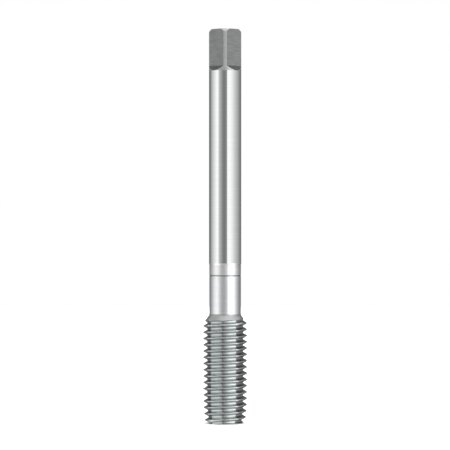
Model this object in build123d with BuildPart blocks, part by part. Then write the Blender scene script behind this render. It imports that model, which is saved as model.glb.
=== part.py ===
from build123d import *
from math import cos, pi, radians, sin, tan
import os

# An M12 x 1.75 thread forming tap, in millimetres. It stands on its threaded front end,
# with its axis along Z and the driving square at the top. The origin is the middle of
# the front face. One corner of the square looks along -Y, to the photo's camera.

# Driving sizes along the tap
total_length = 110.0
thread_length = 30.3
neck_length = 10.8
groove_width = 0.3
band_length = 3.3
shoulder_length = 0.55
square_length = 10.3

# Driving sizes across the tap
crest_diameter = 12.44
shank_diameter = 9.0
neck_diameter = 8.82
band_diameter = 8.82
groove_depth = 0.08
square_across_flats = 7.0
square_angle = 45.0

# Ends and shoulders
shank_chamfer = 0.6
shank_chamfer_angle = 39.0
front_face_diameter = 9.6
front_chamfer_angle = 45.0
back_cone_angle = 36.0
run_out_angle = 37.0
centre_hole_diameter = 1.6
centre_cone_diameter = 3.35
centre_hole_depth = 4.0
centre_cone_angle = 60.0

# The formed thread
pitch = 1.75
flank_angle = 60.0
crest_flat = 0.18
root_flat = 0.20
lobe_count = 8
lobe_relief = 0.19
first_crest = 1.32
first_ridge_angle = -98.1
lead_length = 5.6
lead_drop = 0.55
lead_curve = 1.3
line_steps = 4
stock_allowance = 0.3

# Radii and heights that follow from them
crest_radius = crest_diameter / 2
thread_depth = (pitch - crest_flat - root_flat) / 2 / tan(radians(flank_angle / 2))
root_radius = crest_radius - thread_depth
blank_radius = crest_radius + stock_allowance
neck_radius = neck_diameter / 2
band_radius = band_diameter / 2
shank_radius = shank_diameter / 2
front_face_radius = front_face_diameter / 2
groove_start = thread_length + neck_length
band_start = groove_start + groove_width
shank_start = band_start + band_length
square_start = total_length - square_length


def lobe_dip(swing):
    """How far the thread lies inside its ridges, at an angle counted from one of them."""
    half_lobe = pi / lobe_count
    from_middle = abs(swing % (2 * half_lobe) - half_lobe)
    return lobe_relief * (1 - (from_middle / half_lobe) ** 2)


def lead_dip(height):
    """How far the thread has tapered in at a height above the front face."""
    into_lead = max(0.0, lead_length - height) / lead_length
    return lead_drop * into_lead**lead_curve


def thread_point(radius, rise, lobes_passed):
    """A point of the lobed thread, from its full radius and its rise from the crest line."""
    swing = 2 * pi * lobes_passed / lobe_count
    height = first_crest + rise + pitch * lobes_passed / lobe_count
    lobed_radius = radius - lobe_dip(swing) - lead_dip(height)
    angle = radians(first_ridge_angle) + swing
    return Vector(lobed_radius * cos(angle), lobed_radius * sin(angle), height)


def lobe_line(radius, rise, lobe):
    """A line along the thread over one lobe, from ridge to ridge."""
    with BuildLine() as line:
        Spline(*(thread_point(radius, rise, lobe + i / line_steps) for i in range(line_steps + 1)))
    return line.edge()


# One pitch of the thread profile, as radius and rise from the middle of the crest
profile = [
    (root_radius, -pitch / 2 + root_flat / 2),
    (crest_radius, -crest_flat / 2),
    (crest_radius, crest_flat / 2),
    (root_radius, pitch / 2 - root_flat / 2),
    (root_radius, pitch / 2 + root_flat / 2),
]


def lobe_skin(lobe):
    """Flank, crest, flank and root of one lobe. Lobes are counted on from turn to turn."""
    lines = [lobe_line(radius, rise, lobe) for radius, rise in profile]
    return [Face.make_surface_from_curves(low, high) for low, high in zip(lines, lines[1:])]


def thread_end(first):
    """Closes the skin below a lobe: a helical floor of one turn, and the step up to it."""
    low = first_crest + profile[0][1] + pitch * first / lobe_count
    core = [Vector(0, 0, low + pitch * i / lobe_count) for i in range(lobe_count + 1)]
    faces = []
    for i in range(lobe_count):
        core_line = Edge.make_line(core[i], core[i + 1])
        root_line = lobe_line(*profile[0], first + i)
        faces.append(Face.make_surface_from_curves(core_line, root_line))
    outline = [thread_point(radius, rise, first) for radius, rise in profile]
    faces.append(Face(Wire.make_polygon([*outline, *reversed(core)], close=True)))
    return faces


# The thread's own body runs past both of its ends, where the blank's form cuts it off
first_lobe = -2 * lobe_count
last_lobe = (int(thread_length / pitch) + 3) * lobe_count
thread_faces = thread_end(first_lobe) + thread_end(last_lobe)
for lobe in range(first_lobe, last_lobe):
    thread_faces += lobe_skin(lobe)

with BuildPart() as ground_away:
    with BuildSketch(Plane.XY.offset(-pitch)):
        Circle(2 * crest_radius)
    extrude(amount=thread_length + 2 * pitch)
    add(Solid(Shell(thread_faces)), mode=Mode.SUBTRACT)

with BuildPart() as thread_forming_tap:
    # The turned blank: thread stock with its chamfer and cone, neck, groove, band, shank
    with BuildSketch(Plane.XZ):
        with BuildLine():
            front_rise = (blank_radius - front_face_radius) / tan(radians(front_chamfer_angle))
            cone_rise = (blank_radius - neck_radius) / tan(radians(back_cone_angle))
            end_rise = shank_chamfer / tan(radians(shank_chamfer_angle))
            Polyline(
                (0, 0),
                (front_face_radius, 0),
                (blank_radius, front_rise),
                (blank_radius, thread_length - cone_rise),
                (neck_radius, thread_length),
                (neck_radius, groove_start),
                (neck_radius - groove_depth, groove_start),
                (band_radius - groove_depth, band_start),
                (band_radius, band_start),
                (band_radius, shank_start - shoulder_length),
                (shank_radius, shank_start),
                (shank_radius, total_length - end_rise),
                (shank_radius - shank_chamfer, total_length),
                (0, total_length),
                close=True,
            )
        make_face()
    revolve(axis=Axis.Z)

    # Four flats of the driving square, each with the slope where the wheel ran out
    flat_radius = square_across_flats / 2
    flat_depth = shank_radius - flat_radius
    run_out = flat_depth / tan(radians(run_out_angle))
    for quarter in range(4):
        with BuildSketch(Plane.XZ.rotated((0, 0, square_angle + 90 * quarter))):
            with BuildLine():
                Polyline(
                    (flat_radius, total_length),
                    (flat_radius, square_start),
                    (shank_radius, square_start - run_out),
                    (2 * shank_radius, square_start - run_out),
                    (2 * shank_radius, total_length),
                    close=True,
                )
            make_face()
        extrude(amount=shank_diameter, both=True, mode=Mode.SUBTRACT)

    # Centre holes, between which the tap was ground
    front_plane = Plane(origin=(0, 0, 0), z_dir=(0, 0, -1))
    back_plane = Plane(origin=(0, 0, total_length), z_dir=(0, 0, 1))
    with Locations(front_plane, back_plane):
        CounterSinkHole(
            centre_hole_diameter / 2,
            centre_cone_diameter / 2,
            centre_hole_depth,
            centre_cone_angle,
        )

    # The lobed thread
    add(ground_away.part, mode=Mode.SUBTRACT)

os.makedirs("parts", exist_ok=True)
thread_forming_tap.part.label = "thread_forming_tap"
export_step(thread_forming_tap.part, "parts/thread_forming_tap.step")
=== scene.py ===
from math import acos, ceil, cos, degrees, pi, radians, sin, tan

import bmesh
import bpy
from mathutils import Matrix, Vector


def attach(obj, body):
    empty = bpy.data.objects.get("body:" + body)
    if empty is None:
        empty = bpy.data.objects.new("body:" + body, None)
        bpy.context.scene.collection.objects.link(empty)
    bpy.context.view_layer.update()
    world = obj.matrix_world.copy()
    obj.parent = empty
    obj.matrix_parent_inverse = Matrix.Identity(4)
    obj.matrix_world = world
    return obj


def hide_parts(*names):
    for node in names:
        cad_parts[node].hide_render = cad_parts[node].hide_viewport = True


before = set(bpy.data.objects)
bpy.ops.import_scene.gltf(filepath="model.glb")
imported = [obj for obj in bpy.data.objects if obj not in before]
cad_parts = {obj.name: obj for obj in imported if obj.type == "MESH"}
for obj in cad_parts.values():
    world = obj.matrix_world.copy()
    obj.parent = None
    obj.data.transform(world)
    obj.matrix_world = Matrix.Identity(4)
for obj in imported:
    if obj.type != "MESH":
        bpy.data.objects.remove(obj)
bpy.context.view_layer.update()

# Sizes along the tap, the same as in its source. Sizes are in millimetres, angles in degrees.
total_length = 110.0
thread_length = 30.3
neck_length = 10.8
groove_width = 0.3
band_length = 3.3
shoulder_length = 0.55
square_length = 10.3

# Sizes across the tap
crest_radius = 6.22
neck_radius = 4.41
band_radius = 4.41
shank_radius = 4.5
groove_depth = 0.08
flat_radius = 3.5

# Ends and shoulders
shank_chamfer = 0.6
shank_chamfer_angle = 39
front_face_radius = 4.8
front_chamfer_angle = 45
back_cone_angle = 36
run_out_angle = 37
hole_radius = 0.8
hole_rim_radius = 1.675
hole_depth = 4.0
hole_cone_angle = 60

# The formed thread
pitch = 1.75
flank_angle = 60
lobe_count = 8
lobe_relief = 0.19
first_crest = 1.32
first_ridge_angle = -98.1
lead_length = 5.6
lead_drop = 0.55
lead_curve = 1.3

# Small rounds that the source leaves off: on crest and root, and between cone and neck
crest_round = 0.15
root_round = 0.175
neck_fillet = 0.8

# Heights, slopes and angles that follow from them
groove_start = thread_length + neck_length
band_start = groove_start + groove_width
shank_start = band_start + band_length
square_start = total_length - square_length
chamfer_slope = tan(radians(shank_chamfer_angle))
front_slope = tan(radians(front_chamfer_angle))
cone_slope = tan(radians(back_cone_angle))
run_out_slope = tan(radians(run_out_angle))
run_out_length = (shank_radius - flat_radius) / run_out_slope
fillet_reach = neck_fillet * tan(radians(back_cone_angle / 2))
fillet_height = fillet_reach * (1 + cos(radians(back_cone_angle)))
blank_top = thread_length + fillet_reach
# Half of what a flat and a corner of the square take up of the circle round the shank
flat_half_angle = degrees(acos(flat_radius / shank_radius))
corner_half_angle = 45 - flat_half_angle

# Columns of faces round the thread and on each flat of the square
thread_columns = 144
flat_columns = 30
# Turns of the thread, from below the front face to past the top of the back cone
thread_turns = range(-3, ceil(thread_length / pitch) + 2)
# How far from a flank's ends its plain part starts, as a share of the flank
flank_margin = 0.12
# The rows of faces over the crest, counted from the root in one pitch of the profile
crest_rows = range(6, 10)
# How far above the thread's last ring of points the neck's first one stands
seam_height = 0.3
# A face of the thread this near to the blank's form is turned, and not ground
blank_margin = 0.012
# An edge that starts at least this far below the blank's top belongs to the thread
top_margin = 0.01
# Points closer than this, in metres, become one
weld_distance = 1e-7
# Edges with a larger angle than this are drawn sharp
thread_sharp_angle = 36
shank_sharp_angle = 4

# Places of the finishes in the tap's list of materials
THREAD, CREST, TURNED, NECK, GROOVE, BAND, SHANK, RUN_OUT, FLAT, CORNER = range(10)


def hex_colour(code):
    """Linear colour of an sRGB hex value."""
    parts = [int(code[i:i + 2], 16) / 255 for i in (1, 3, 5)]
    linear = [c / 12.92 if c <= 0.04045 else ((c + 0.055) / 1.055) ** 2.4 for c in parts]
    return (*linear, 1.0)


def add_node(tree, kind, settings=None, **links):
    """Adds a node. A link's name is an input with spaces as _, its value a number or a socket."""
    node = tree.nodes.new(kind)
    for name, value in (settings or {}).items():
        if name != "stops":
            setattr(node, name, value)
            continue
        stops = node.color_ramp.elements
        while len(stops) < len(value):
            stops.new(0.5)
        for stop, (position, level) in zip(stops, value):
            stop.position = position
            stop.color = (level, level, level, 1.0)
    for name, value in links.items():
        key = int(name[1:]) if name[1:].isdigit() else name.replace("_", " ")
        if isinstance(value, bpy.types.NodeSocket):
            tree.links.new(value, node.inputs[key])
        else:
            node.inputs[key].default_value = value
    return node


def ramp_stops(levels, span):
    """The setting of a colour ramp for levels by degrees, where 0 is the middle of the span."""
    return {"stops": [(angle / span + 0.5, level) for angle, level in levels]}


def steel(name, dark, light, roughness, pattern, relief, round_the_tap=True, brushed=0.0):
    """Steel with a drawn-out noise in its tone, shine and relief.

    The pattern is the size of its marks in millimetres, across and along the tap. The
    relief is their depth in thousandths of a millimetre.
    """
    material = bpy.data.materials.new(name)
    material.use_nodes = True
    tree = material.node_tree
    shader = tree.nodes["Principled BSDF"]
    shader.inputs["Metallic"].default_value = 1.0
    place = add_node(tree, "ShaderNodeTexCoord").outputs["Object"]
    if round_the_tap:
        # Height plus twice the radius is the same along a turned line on any of the forms
        across = add_node(tree, "ShaderNodeVectorMath", {"operation": "MULTIPLY"}, _0=place, _1=(1, 1, 0))
        radius = add_node(tree, "ShaderNodeVectorMath", {"operation": "LENGTH"}, _0=across.outputs[0])
        split = add_node(tree, "ShaderNodeSeparateXYZ", Vector=place)
        line = add_node(
            tree,
            "ShaderNodeMath",
            {"operation": "MULTIPLY_ADD"},
            _0=radius.outputs["Value"],
            _1=2.0,
            _2=split.outputs["Z"],
        )
        place = add_node(
            tree, "ShaderNodeCombineXYZ", X=split.outputs["X"], Y=split.outputs["Y"], Z=line.outputs[0]
        ).outputs[0]
    # Marks to the metre, because the object's coordinates are in metres
    wide, high = (1000 / size for size in pattern)
    scaled = add_node(tree, "ShaderNodeMapping", Vector=place, Scale=(wide, wide, high))
    noise = add_node(
        tree, "ShaderNodeTexNoise", Vector=scaled.outputs[0], Scale=1.0, Detail=3.0, Roughness=0.6
    )
    marks = add_node(
        tree, "ShaderNodeMapRange", Value=noise.outputs[0], From_Min=0.32, From_Max=0.68
    ).outputs[0]
    tone = add_node(
        tree,
        "ShaderNodeMix",
        {"data_type": "RGBA"},
        Factor=marks,
        _6=hex_colour(dark),
        _7=hex_colour(light),
    )
    shine = add_node(tree, "ShaderNodeMapRange", Value=marks, To_Min=roughness[1], To_Max=roughness[0])
    bump = add_node(tree, "ShaderNodeBump", Strength=1.0, Distance=relief / 1e6, Height=marks)
    tree.links.new(tone.outputs[2], shader.inputs["Base Color"])
    tree.links.new(shine.outputs[0], shader.inputs["Roughness"])
    tree.links.new(bump.outputs[0], shader.inputs["Normal"])
    if brushed:
        round_about = add_node(tree, "ShaderNodeTangent", {"direction_type": "RADIAL", "axis": "Z"})
        tree.links.new(round_about.outputs[0], shader.inputs["Tangent"])
        shader.inputs["Anisotropic"].default_value = brushed
        # A quarter turn, because lines round the tap draw reflections out along it
        shader.inputs["Anisotropic Rotation"].default_value = 0.25
    return material


def thread_profile():
    """One pitch from root to root, as drop below the crest and rise from its middle."""
    depth = pitch / 2 / tan(radians(flank_angle / 2)) - crest_round - root_round

    def root(turn, side):
        """A point of the rounded root on one side of the crest, from its floor at turn 0."""
        swing = radians(turn)
        return depth - root_round * (1 - cos(swing)), side * (pitch / 2 - root_round * sin(swing))

    def crest(turn):
        """A point of the rounded crest, from its middle at turn 0."""
        swing = radians(turn)
        return crest_round * (1 - cos(swing)), crest_round * sin(swing)

    def flank(start, end):
        """Two points near the ends of a flank, which keep its shading plain between them."""
        return [
            tuple(a + (b - a) * share for a, b in zip(start, end))
            for share in (flank_margin, 1 - flank_margin)
        ]

    root_below = [root(turn, -1) for turn in (0, 20, 40, 60)]
    over_crest = [crest(turn) for turn in (-60, -30, 0, 30, 60)]
    root_above = [root(turn, 1) for turn in (60, 40, 20)]
    rising = flank(root_below[-1], over_crest[0])
    falling = flank(over_crest[-1], root_above[0])
    return [*root_below, *rising, *over_crest, *falling, *root_above]


profile = thread_profile()


def lobe_dip(swing):
    """How far the thread lies inside its ridges, at an angle counted from one of them."""
    half_lobe = pi / lobe_count
    from_middle = abs(swing % (2 * half_lobe) - half_lobe)
    return lobe_relief * (1 - (from_middle / half_lobe) ** 2)


def lead_dip(height):
    """How far the thread has tapered in at a height above the front face."""
    into_lead = max(0.0, lead_length - height) / lead_length
    return lead_drop * into_lead**lead_curve


def blank_limit(height):
    """Radius of the turned blank round the thread: front chamfer, back cone and its fillet."""
    chamfer = front_face_radius + height * front_slope
    cone = neck_radius + (thread_length - height) * cone_slope
    below_top = blank_top - height
    if below_top < fillet_height:
        cone = neck_radius + neck_fillet - (neck_fillet**2 - below_top**2) ** 0.5
    return min(chamfer, cone)


def thread_column(column):
    """Points up one column of the thread, as height and radius, trimmed by the blank."""
    swing = 2 * pi * column / thread_columns
    points = []
    for turn in thread_turns:
        for drop, rise in profile:
            height = first_crest + rise + pitch * (turn + column / thread_columns)
            points.append([height, crest_radius - drop - lobe_dip(swing) - lead_dip(height)])
    # A point beside the blank's edge moves onto it, so that the edge runs clean
    for low, high in zip(points, points[1:]):
        if high[0] > blank_top:
            break
        over = low[1] - blank_limit(low[0]), high[1] - blank_limit(high[0])
        if over[0] * over[1] < 0:
            share = over[0] / (over[0] - over[1])
            nearer = low if share < 0.5 else high
            nearer[:] = [a + (b - a) * share for a, b in zip(low, high)]
    for point in points:
        point[1] = min(point[1], blank_limit(max(0.0, min(point[0], blank_top))))
    # All below the front face shrinks to the point where the column crosses it
    above = next(i for i, point in enumerate(points) if point[0] > 0)
    low, high = points[above - 1], points[above]
    share = low[0] / (low[0] - high[0])
    start = [0.0, low[1] + (high[1] - low[1]) * share]
    points[:above] = [start] * above
    # All above the blank's top shrinks to one point where the neck starts
    return [[min(h, blank_top), neck_radius if h > blank_top else r] for h, r in points]


def ring(mesh, angles, points):
    """Vertices round the axis, one for each angle, at (height, radius) in millimetres."""
    return [
        mesh.verts.new((r * cos(radians(a)) / 1000, r * sin(radians(a)) / 1000, h / 1000))
        for a, (h, r) in zip(angles, points)
    ]


def skin(mesh, low, high, finish):
    """Faces between two rings, the second above or inside the first."""
    for i in range(len(low)):
        j = (i + 1) % len(low)
        face = mesh.faces.new((low[i], low[j], high[j], high[i]))
        face.material_index = finish[i] if isinstance(finish, list) else finish
        face.smooth = True


def in_turn(verts, angles):
    """A ring's points as angle and vertex in order round the axis, the first again at the end."""
    order = sorted(range(len(verts)), key=lambda i: angles[i] % 360)
    points = [(angles[i] % 360, verts[i]) for i in order]
    return [*points, (points[0][0] + 360, points[0][1])]


def seam(mesh, low, high, finish):
    """Triangles between two rings from in_turn, the second above the first."""
    i = j = 0
    while i < len(low) - 1 or j < len(high) - 1:
        corners = [low[i][1], high[j][1]]
        if j == len(high) - 1 or (i < len(low) - 1 and low[i + 1][0] <= high[j + 1][0]):
            i += 1
            corners.insert(1, low[i][1])
        else:
            j += 1
            corners.insert(1, high[j][1])
        face = mesh.faces.new(corners)
        face.material_index = finish
        face.smooth = True


def end_face(mesh, angles, rim, end, way):
    """An end of the tap from its rim inwards: flat, and the centre hole's cone, bore and floor.

    The way leads from the end into the tap: 1 is up and -1 is down.
    """
    cone_depth = (hole_rim_radius - hole_radius) / tan(radians(hole_cone_angle / 2))
    stations = [(0, hole_rim_radius), (cone_depth, hole_radius), (hole_depth, hole_radius)]
    for depth, radius in stations:
        inner = ring(mesh, angles, [(end + way * depth, radius)] * len(angles))
        pair = (inner, rim) if way > 0 else (rim, inner)
        skin(mesh, *pair, TURNED)
        rim = inner
    middle = mesh.verts.new((0, 0, (end + way * hole_depth) / 1000))
    for i in range(len(rim)):
        j = (i + 1) % len(rim)
        corners = (rim[j], rim[i], middle) if way > 0 else (rim[i], rim[j], middle)
        mesh.faces.new(corners).material_index = TURNED


def add_thread(mesh):
    """The lobed thread with its front end, up to the ring of points where the neck starts."""
    angles = [first_ridge_angle + 360 * i / thread_columns for i in range(thread_columns)]
    columns = [thread_column(i) for i in range(thread_columns)]
    rows = len(columns[0])
    rings = [ring(mesh, angles, [column[row] for column in columns]) for row in range(rows)]
    for row in range(rows - 1):
        for i in range(thread_columns):
            # The last column meets the first one pitch further up
            j = (i + 1) % thread_columns
            up = len(profile) if j == 0 else 0
            if row + 1 + up >= rows:
                continue
            corners = (rings[row][i], rings[row + up][j], rings[row + 1 + up][j], rings[row + 1][i])
            middle = sum((v.co for v in corners), Vector()) / 4 * 1000
            face = mesh.faces.new(corners)
            face.smooth = True
            face.material_index = CREST if row % len(profile) in crest_rows else THREAD
            if middle.xy.length > blank_limit(middle.z) - blank_margin:
                face.material_index = TURNED
    bottom = ring(mesh, angles, [column[0] for column in columns])
    end_face(mesh, angles, bottom, 0.0, 1)
    return in_turn(rings[-1], angles)


def add_shank(mesh, thread_top):
    """Neck, groove, band, shank and driving square, from the thread's last ring on."""
    # Angles round the tap, how far each is from the nearest flat's middle, and the finish of
    # the faces that follow it. The first corner looks along -Y.
    angles, from_flat, finish = [], [], []
    flat_step = 2 * flat_half_angle / flat_columns
    for quarter in range(4):
        corner = -90 + 90 * quarter
        offsets = [-corner_half_angle, 0.0]
        offsets += [corner_half_angle + flat_step * i for i in range(flat_columns)]
        for offset in offsets:
            angles.append(corner + offset)
            from_flat.append(abs(45 - abs(offset)))
            finish.append(CORNER if offset < corner_half_angle else FLAT)

    def all_round(height, radius):
        return ring(mesh, angles, [(height, radius)] * len(angles))

    low = all_round(blank_top + seam_height, neck_radius)
    seam(mesh, thread_top, in_turn(low, angles), NECK)
    for height, radius, kind in (
        (groove_start, neck_radius, NECK),
        (groove_start, neck_radius - groove_depth, GROOVE),
        (band_start, neck_radius - groove_depth, GROOVE),
        (band_start, band_radius, GROOVE),
        (shank_start - shoulder_length, band_radius, BAND),
        (shank_start, shank_radius, BAND),
        (square_start - run_out_length, shank_radius, SHANK),
    ):
        high = all_round(height, radius)
        skin(mesh, low, high, kind)
        low = high

    # The curved edges where the run-outs leave the shank
    edge_points = []
    for turn in from_flat:
        rise = (shank_radius - shank_radius * cos(radians(turn))) / run_out_slope
        edge_points.append((square_start - run_out_length + min(rise, run_out_length), shank_radius))
    high = ring(mesh, angles, edge_points)
    skin(mesh, low, high, CORNER)
    low = high

    # The foot of the square, and its top with the curved edges of the shank's chamfer
    square_edge = [min(shank_radius, flat_radius / cos(radians(turn))) for turn in from_flat]
    high = ring(mesh, angles, [(square_start, edge) for edge in square_edge])
    skin(mesh, low, high, [RUN_OUT if kind == FLAT else CORNER for kind in finish])
    low = high
    chamfer_start = total_length - shank_chamfer / chamfer_slope
    top_points = []
    for edge in square_edge:
        rise = (shank_radius - edge) / chamfer_slope
        top_points.append((min(total_length, chamfer_start + rise), edge))
    high = ring(mesh, angles, top_points)
    skin(mesh, low, high, finish)
    low = high

    end_radius = shank_radius - shank_chamfer
    high = ring(mesh, angles, [(total_length, min(end_radius, edge)) for edge in square_edge])
    skin(mesh, low, high, TURNED)
    end_face(mesh, angles, high, total_length, -1)


def finish_mesh(mesh):
    """Joins doubled points, drops what has shrunk to nothing and marks the sharp edges."""
    bmesh.ops.remove_doubles(mesh, verts=mesh.verts, dist=weld_distance)
    bmesh.ops.dissolve_degenerate(mesh, edges=mesh.edges, dist=weld_distance)
    for edge in mesh.edges:
        if len(edge.link_faces) == 2:
            in_thread = min(vert.co.z for vert in edge.verts) * 1000 < blank_top - top_margin
            sharp_angle = thread_sharp_angle if in_thread else shank_sharp_angle
            edge.smooth = edge.calc_face_angle(0.0) < radians(sharp_angle)


# Profile ground steel: fine lines along the thread, drawn at 0.3 mm to show, blur a little
# what it mirrors, and it looks cooler than the shank.
thread_steel = steel(
    "profile_ground_tool_steel", "#bcc0c0", "#c4c8c7", (0.08, 0.12), (5.0, 0.3), 0.3, brushed=0.6
)
# The crests, which the grinding of the flanks leaves out, are duller
crest_steel = steel(
    "satin_crest_tool_steel", "#c3c6c5", "#cccfce", (0.30, 0.36), (5.0, 0.3), 0.3, brushed=0.5
)
# Turned steel of the cones and ends: dull, with rings drawn 0.3 mm apart to show
turned_steel = steel(
    "turned_tool_steel", "#b0b1b1", "#bdbebe", (0.46, 0.54), (4.0, 0.3), 1.2, brushed=0.4
)
# Finely turned steel: satin, and lines round the tap draw reflections out along it. The real
# lines are finer than the 0.45 mm that they are drawn at.
neck_steel = steel(
    "finely_turned_neck_tool_steel", "#dcdee0", "#e3e4e6", (0.34, 0.40), (8.0, 0.45), 0.4, brushed=0.6
)
band_steel = steel(
    "finely_turned_band_tool_steel", "#e1e1e1", "#e9e9e9", (0.40, 0.46), (8.0, 0.45), 0.4, brushed=0.6
)
# Steel cut in with a pointed tool: the groove is dull, with lines 0.2 mm apart. Its darker tone is
# painted shade in the recess of the groove.
groove_steel_painted_shade = steel(
    "plunge_turned_tool_steel_painted_shade", "#858687", "#919293", (0.46, 0.54), (4.0, 0.2), 0.6, brushed=0.3
)
# Cylindrically ground steel: a mirror with lines round the tap that the eye only guesses.
# Real lines are some hundredths of a millimetre apart, here they are drawn at 0.4 mm.
shank_steel = steel(
    "cylindrically_ground_tool_steel", "#d0d2d1", "#d4d6d5", (0.07, 0.10), (9.0, 0.4), 0.1, brushed=0.3
)
# Milled steel of the square: dull, with cloudy streaks across the flats, 2.4 mm long
flat_steel = steel(
    "milled_tool_steel", "#8c8e8d", "#989a99", (0.52, 0.62), (2.4, 0.35), 1.5, round_the_tap=False
)
# The slopes below the flats, where the wheel ran out, are dull milled steel, and the darkest: their dark
# tone is painted shade.
run_out_steel_painted_shade = steel(
    "milled_run_out_tool_steel_painted_shade", "#626463", "#6e706f", (0.45, 0.55), (2.0, 0.5), 1.5, round_the_tap=False
)
# The corners of the square and the last millimetre below it, which the wheel left satin
corner_steel = steel(
    "satin_turned_tool_steel", "#b6b7b7", "#c0c1c1", (0.48, 0.56), (6.0, 0.5), 0.6
)

# The tap in one piece
tap_form = bmesh.new()
add_shank(tap_form, add_thread(tap_form))
finish_mesh(tap_form)
tap_mesh = bpy.data.meshes.new("thread_forming_tap_steel")
tap_form.to_mesh(tap_mesh)
tap_form.free()
# In the order of their places, from THREAD to CORNER
for material in (
    thread_steel,
    crest_steel,
    turned_steel,
    neck_steel,
    groove_steel_painted_shade,
    band_steel,
    shank_steel,
    run_out_steel_painted_shade,
    flat_steel,
    corner_steel,
):
    tap_mesh.materials.append(material)
tap = bpy.data.objects.new("thread_forming_tap_steel", tap_mesh)
bpy.context.scene.collection.objects.link(tap)
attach(tap, "root")
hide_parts("thread_forming_tap")

# Floor of matt white paper
floor_mesh = bpy.data.meshes.new("paper_floor")
floor_form = bmesh.new()
bmesh.ops.create_circle(floor_form, cap_ends=True, segments=96, radius=1.0)
floor_form.to_mesh(floor_mesh)
floor_form.free()
floor = bpy.data.objects.new("paper_floor", floor_mesh)
bpy.context.scene.collection.objects.link(floor)
paper = bpy.data.materials.new("matt_white_paper")
paper.use_nodes = True
paper_shader = paper.node_tree.nodes["Principled BSDF"]
paper_shader.inputs["Base Color"].default_value = hex_colour("#f4f4f4")
paper_shader.inputs["Roughness"].default_value = 0.9
floor_mesh.materials.append(paper)
floor.visible_glossy = False

# White backdrop all round, which only the camera sees
dome_mesh = bpy.data.meshes.new("white_backdrop")
dome_form = bmesh.new()
bmesh.ops.create_uvsphere(dome_form, u_segments=48, v_segments=24, radius=3.2)
dome_form.to_mesh(dome_mesh)
dome_form.free()
dome = bpy.data.objects.new("white_backdrop", dome_mesh)
bpy.context.scene.collection.objects.link(dome)
backdrop = bpy.data.materials.new("lit_white_paper")
backdrop.use_nodes = True
backdrop_tree = backdrop.node_tree
backdrop_tree.nodes.remove(backdrop_tree.nodes["Principled BSDF"])
glow = add_node(backdrop_tree, "ShaderNodeEmission", Color=hex_colour("#ffffff"), Strength=1.0)
backdrop_tree.links.new(glow.outputs[0], backdrop_tree.nodes["Material Output"].inputs[0])
dome_mesh.materials.append(backdrop)
dome.visible_glossy = False
dome.visible_diffuse = False
dome.visible_shadow = False
dome.visible_transmission = False

# Studio light round the tap, as a level by direction. Level with the tap, a dark gap for the
# camera lies between two softboxes. They stand in a tent of white cloth. Above and below it
# runs a band that is dark in front, then come the ceiling and the white paper. Each list
# holds degrees from the camera towards its right, and the light's level there.
softboxes = [
    (-180, 0.20),
    (-136, 0.22),
    (-62, 1.46),
    (-54, 1.50),
    (-42, 0.76),
    (-12, 0.26),
    (3, 0.30),
    (8.5, 0.36),
    (19.5, 1.50),
    (36, 1.46),
    (62, 1.10),
    (72, 0.90),
    (126, 0.33),
    (150, 0.22),
    (180, 0.20),
]
tent = [
    (-180, 0.15),
    (-146, 0.20),
    (-116, 0.65),
    (-90, 1.20),
    (-54, 1.20),
    (-40, 0.60),
    (-14, 0.45),
    (5, 0.80),
    (20, 1.00),
    (30, 2.00),
    (64, 2.10),
    (84, 1.70),
    (112, 0.46),
    (146, 0.20),
    (180, 0.15),
]
tent_top = [
    (-180, 0.20),
    (-110, 0.30),
    (-86, 0.40),
    (-44, 0.35),
    (-10, 0.40),
    (5, 0.70),
    (20, 1.10),
    (31, 2.70),
    (60, 2.40),
    (74, 0.70),
    (96, 0.12),
    (180, 0.20),
]
tent_foot = [
    (-180, 0.45),
    (-166, 0.35),
    (-150, 0.15),
    (-104, 0.10),
    (-88, 1.50),
    (-70, 2.40),
    (-48, 2.10),
    (-34, 1.00),
    (-20, 0.60),
    (5, 0.60),
    (20, 1.10),
    (31, 2.40),
    (46, 3.00),
    (64, 2.80),
    (78, 0.80),
    (96, 0.12),
    (150, 0.15),
    (166, 0.35),
    (180, 0.45),
]
dark_band = [
    (-180, 0.80),
    (-150, 1.10),
    (-104, 1.10),
    (-88, 0.40),
    (-78, 0.12),
    (20, 0.05),
    (34, 0.20),
    (60, 0.50),
    (84, 0.50),
    (98, 1.00),
    (145, 1.00),
    (180, 0.80),
]
paper_below = [
    (-180, 1.00),
    (-104, 1.50),
    (-60, 1.40),
    (-20, 0.80),
    (10, 0.50),
    (26, 0.50),
    (46, 1.00),
    (180, 1.00),
]
ceiling = [
    (-180, 1.00),
    (-104, 0.90),
    (-80, 1.90),
    (-60, 2.40),
    (-20, 2.00),
    (10, 1.80),
    (60, 2.60),
    (110, 1.60),
    (180, 1.00),
]
# The zones that lie over the softboxes, each with its share by degrees up from level. A zone
# covers those before it in the list.
zones = [
    (tent, [(-8, 1.0), (-5, 0.0), (5, 0.0), (8, 1.0)]),
    (tent_top, [(12, 0.0), (17, 1.0)]),
    (tent_foot, [(-15, 1.0), (-10, 0.0)]),
    (dark_band, [(-36, 1.0), (-32, 0.0), (32, 0.0), (36, 1.0)]),
    (paper_below, [(-48, 1.0), (-44, 0.0)]),
    (ceiling, [(50, 0.0), (58, 1.0)]),
]
# The tap's own shade on the paper: right under it a fifth of the light is left
shade_below = [(-90, 0.20), (-70, 0.20), (-58, 1.0)]

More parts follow.
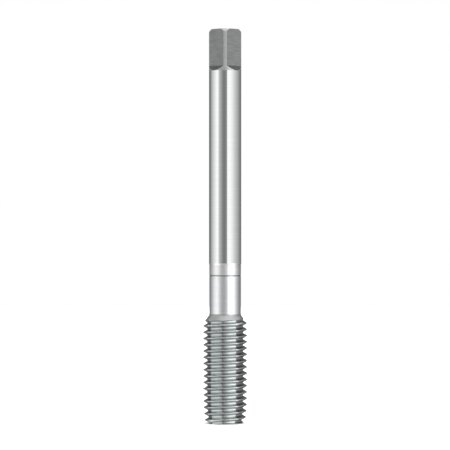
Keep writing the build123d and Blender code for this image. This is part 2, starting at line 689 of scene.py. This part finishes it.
studio = bpy.data.worlds.new("studio")
bpy.context.scene.world = studio
studio.use_nodes = True
tree = studio.node_tree
tree.nodes.clear()
direction = add_node(tree, "ShaderNodeTexCoord").outputs["Generated"]
split = add_node(tree, "ShaderNodeSeparateXYZ", Vector=direction)
front = add_node(tree, "ShaderNodeMath", {"operation": "MULTIPLY"}, _0=split.outputs["Y"], _1=-1.0)
turn = add_node(
    tree, "ShaderNodeMath", {"operation": "ARCTAN2"}, _0=split.outputs["X"], _1=front.outputs[0]
)
turn_share = add_node(
    tree, "ShaderNodeMath", {"operation": "MULTIPLY_ADD"}, _0=turn.outputs[0], _1=0.5 / pi, _2=0.5
).outputs[0]
lift = add_node(tree, "ShaderNodeMath", {"operation": "ARCSINE"}, _0=split.outputs["Z"])
lift_share = add_node(
    tree, "ShaderNodeMath", {"operation": "MULTIPLY_ADD"}, _0=lift.outputs[0], _1=1 / pi, _2=0.5
).outputs[0]
light = add_node(tree, "ShaderNodeValToRGB", ramp_stops(softboxes, 360), Fac=turn_share).outputs[0]
for levels, part in zones:
    zone = add_node(tree, "ShaderNodeValToRGB", ramp_stops(levels, 360), Fac=turn_share)
    share = add_node(tree, "ShaderNodeValToRGB", ramp_stops(part, 180), Fac=lift_share)
    light = add_node(
        tree,
        "ShaderNodeMix",
        {"data_type": "RGBA"},
        Factor=share.outputs[0],
        _6=light,
        _7=zone.outputs[0],
    ).outputs[2]
shade = add_node(tree, "ShaderNodeValToRGB", ramp_stops(shade_below, 180), Fac=lift_share)
light = add_node(
    tree,
    "ShaderNodeMix",
    {"data_type": "RGBA", "blend_type": "MULTIPLY"},
    Factor=1.0,
    _6=light,
    _7=shade.outputs[0],
).outputs[2]
sky = add_node(tree, "ShaderNodeBackground", Color=light, Strength=1.0)
add_node(tree, "ShaderNodeOutputWorld", Surface=sky.outputs[0])

# A large overhead softbox for the paper
lamp_data = bpy.data.lights.new("overhead_softbox", "AREA")
lamp_data.shape = "SQUARE"
lamp_data.size = 4.0
lamp_data.energy = 106.0
lamp = bpy.data.objects.new("overhead_softbox", lamp_data)
lamp.location = (0.0, 0.0, 2.5)
lamp.visible_glossy = False
lamp.visible_camera = False
bpy.context.scene.collection.objects.link(lamp)

# Camera level with the middle of the tap, as in the photograph
camera_aside = -0.00004
camera_distance = 0.7
camera_height = 0.05537
camera_data = bpy.data.cameras.new("camera")
camera_data.sensor_width = 36.0
camera_data.lens = 200.5
camera_data.clip_start = 0.01
camera_data.clip_end = 20.0
camera = bpy.data.objects.new("camera", camera_data)
camera.location = (camera_aside, -camera_distance, camera_height)
camera.rotation_euler = (pi / 2, 0.0, 0.0)
bpy.context.scene.collection.objects.link(camera)
bpy.context.scene.camera = camera
bpy.context.scene.view_settings.view_transform = "Standard"
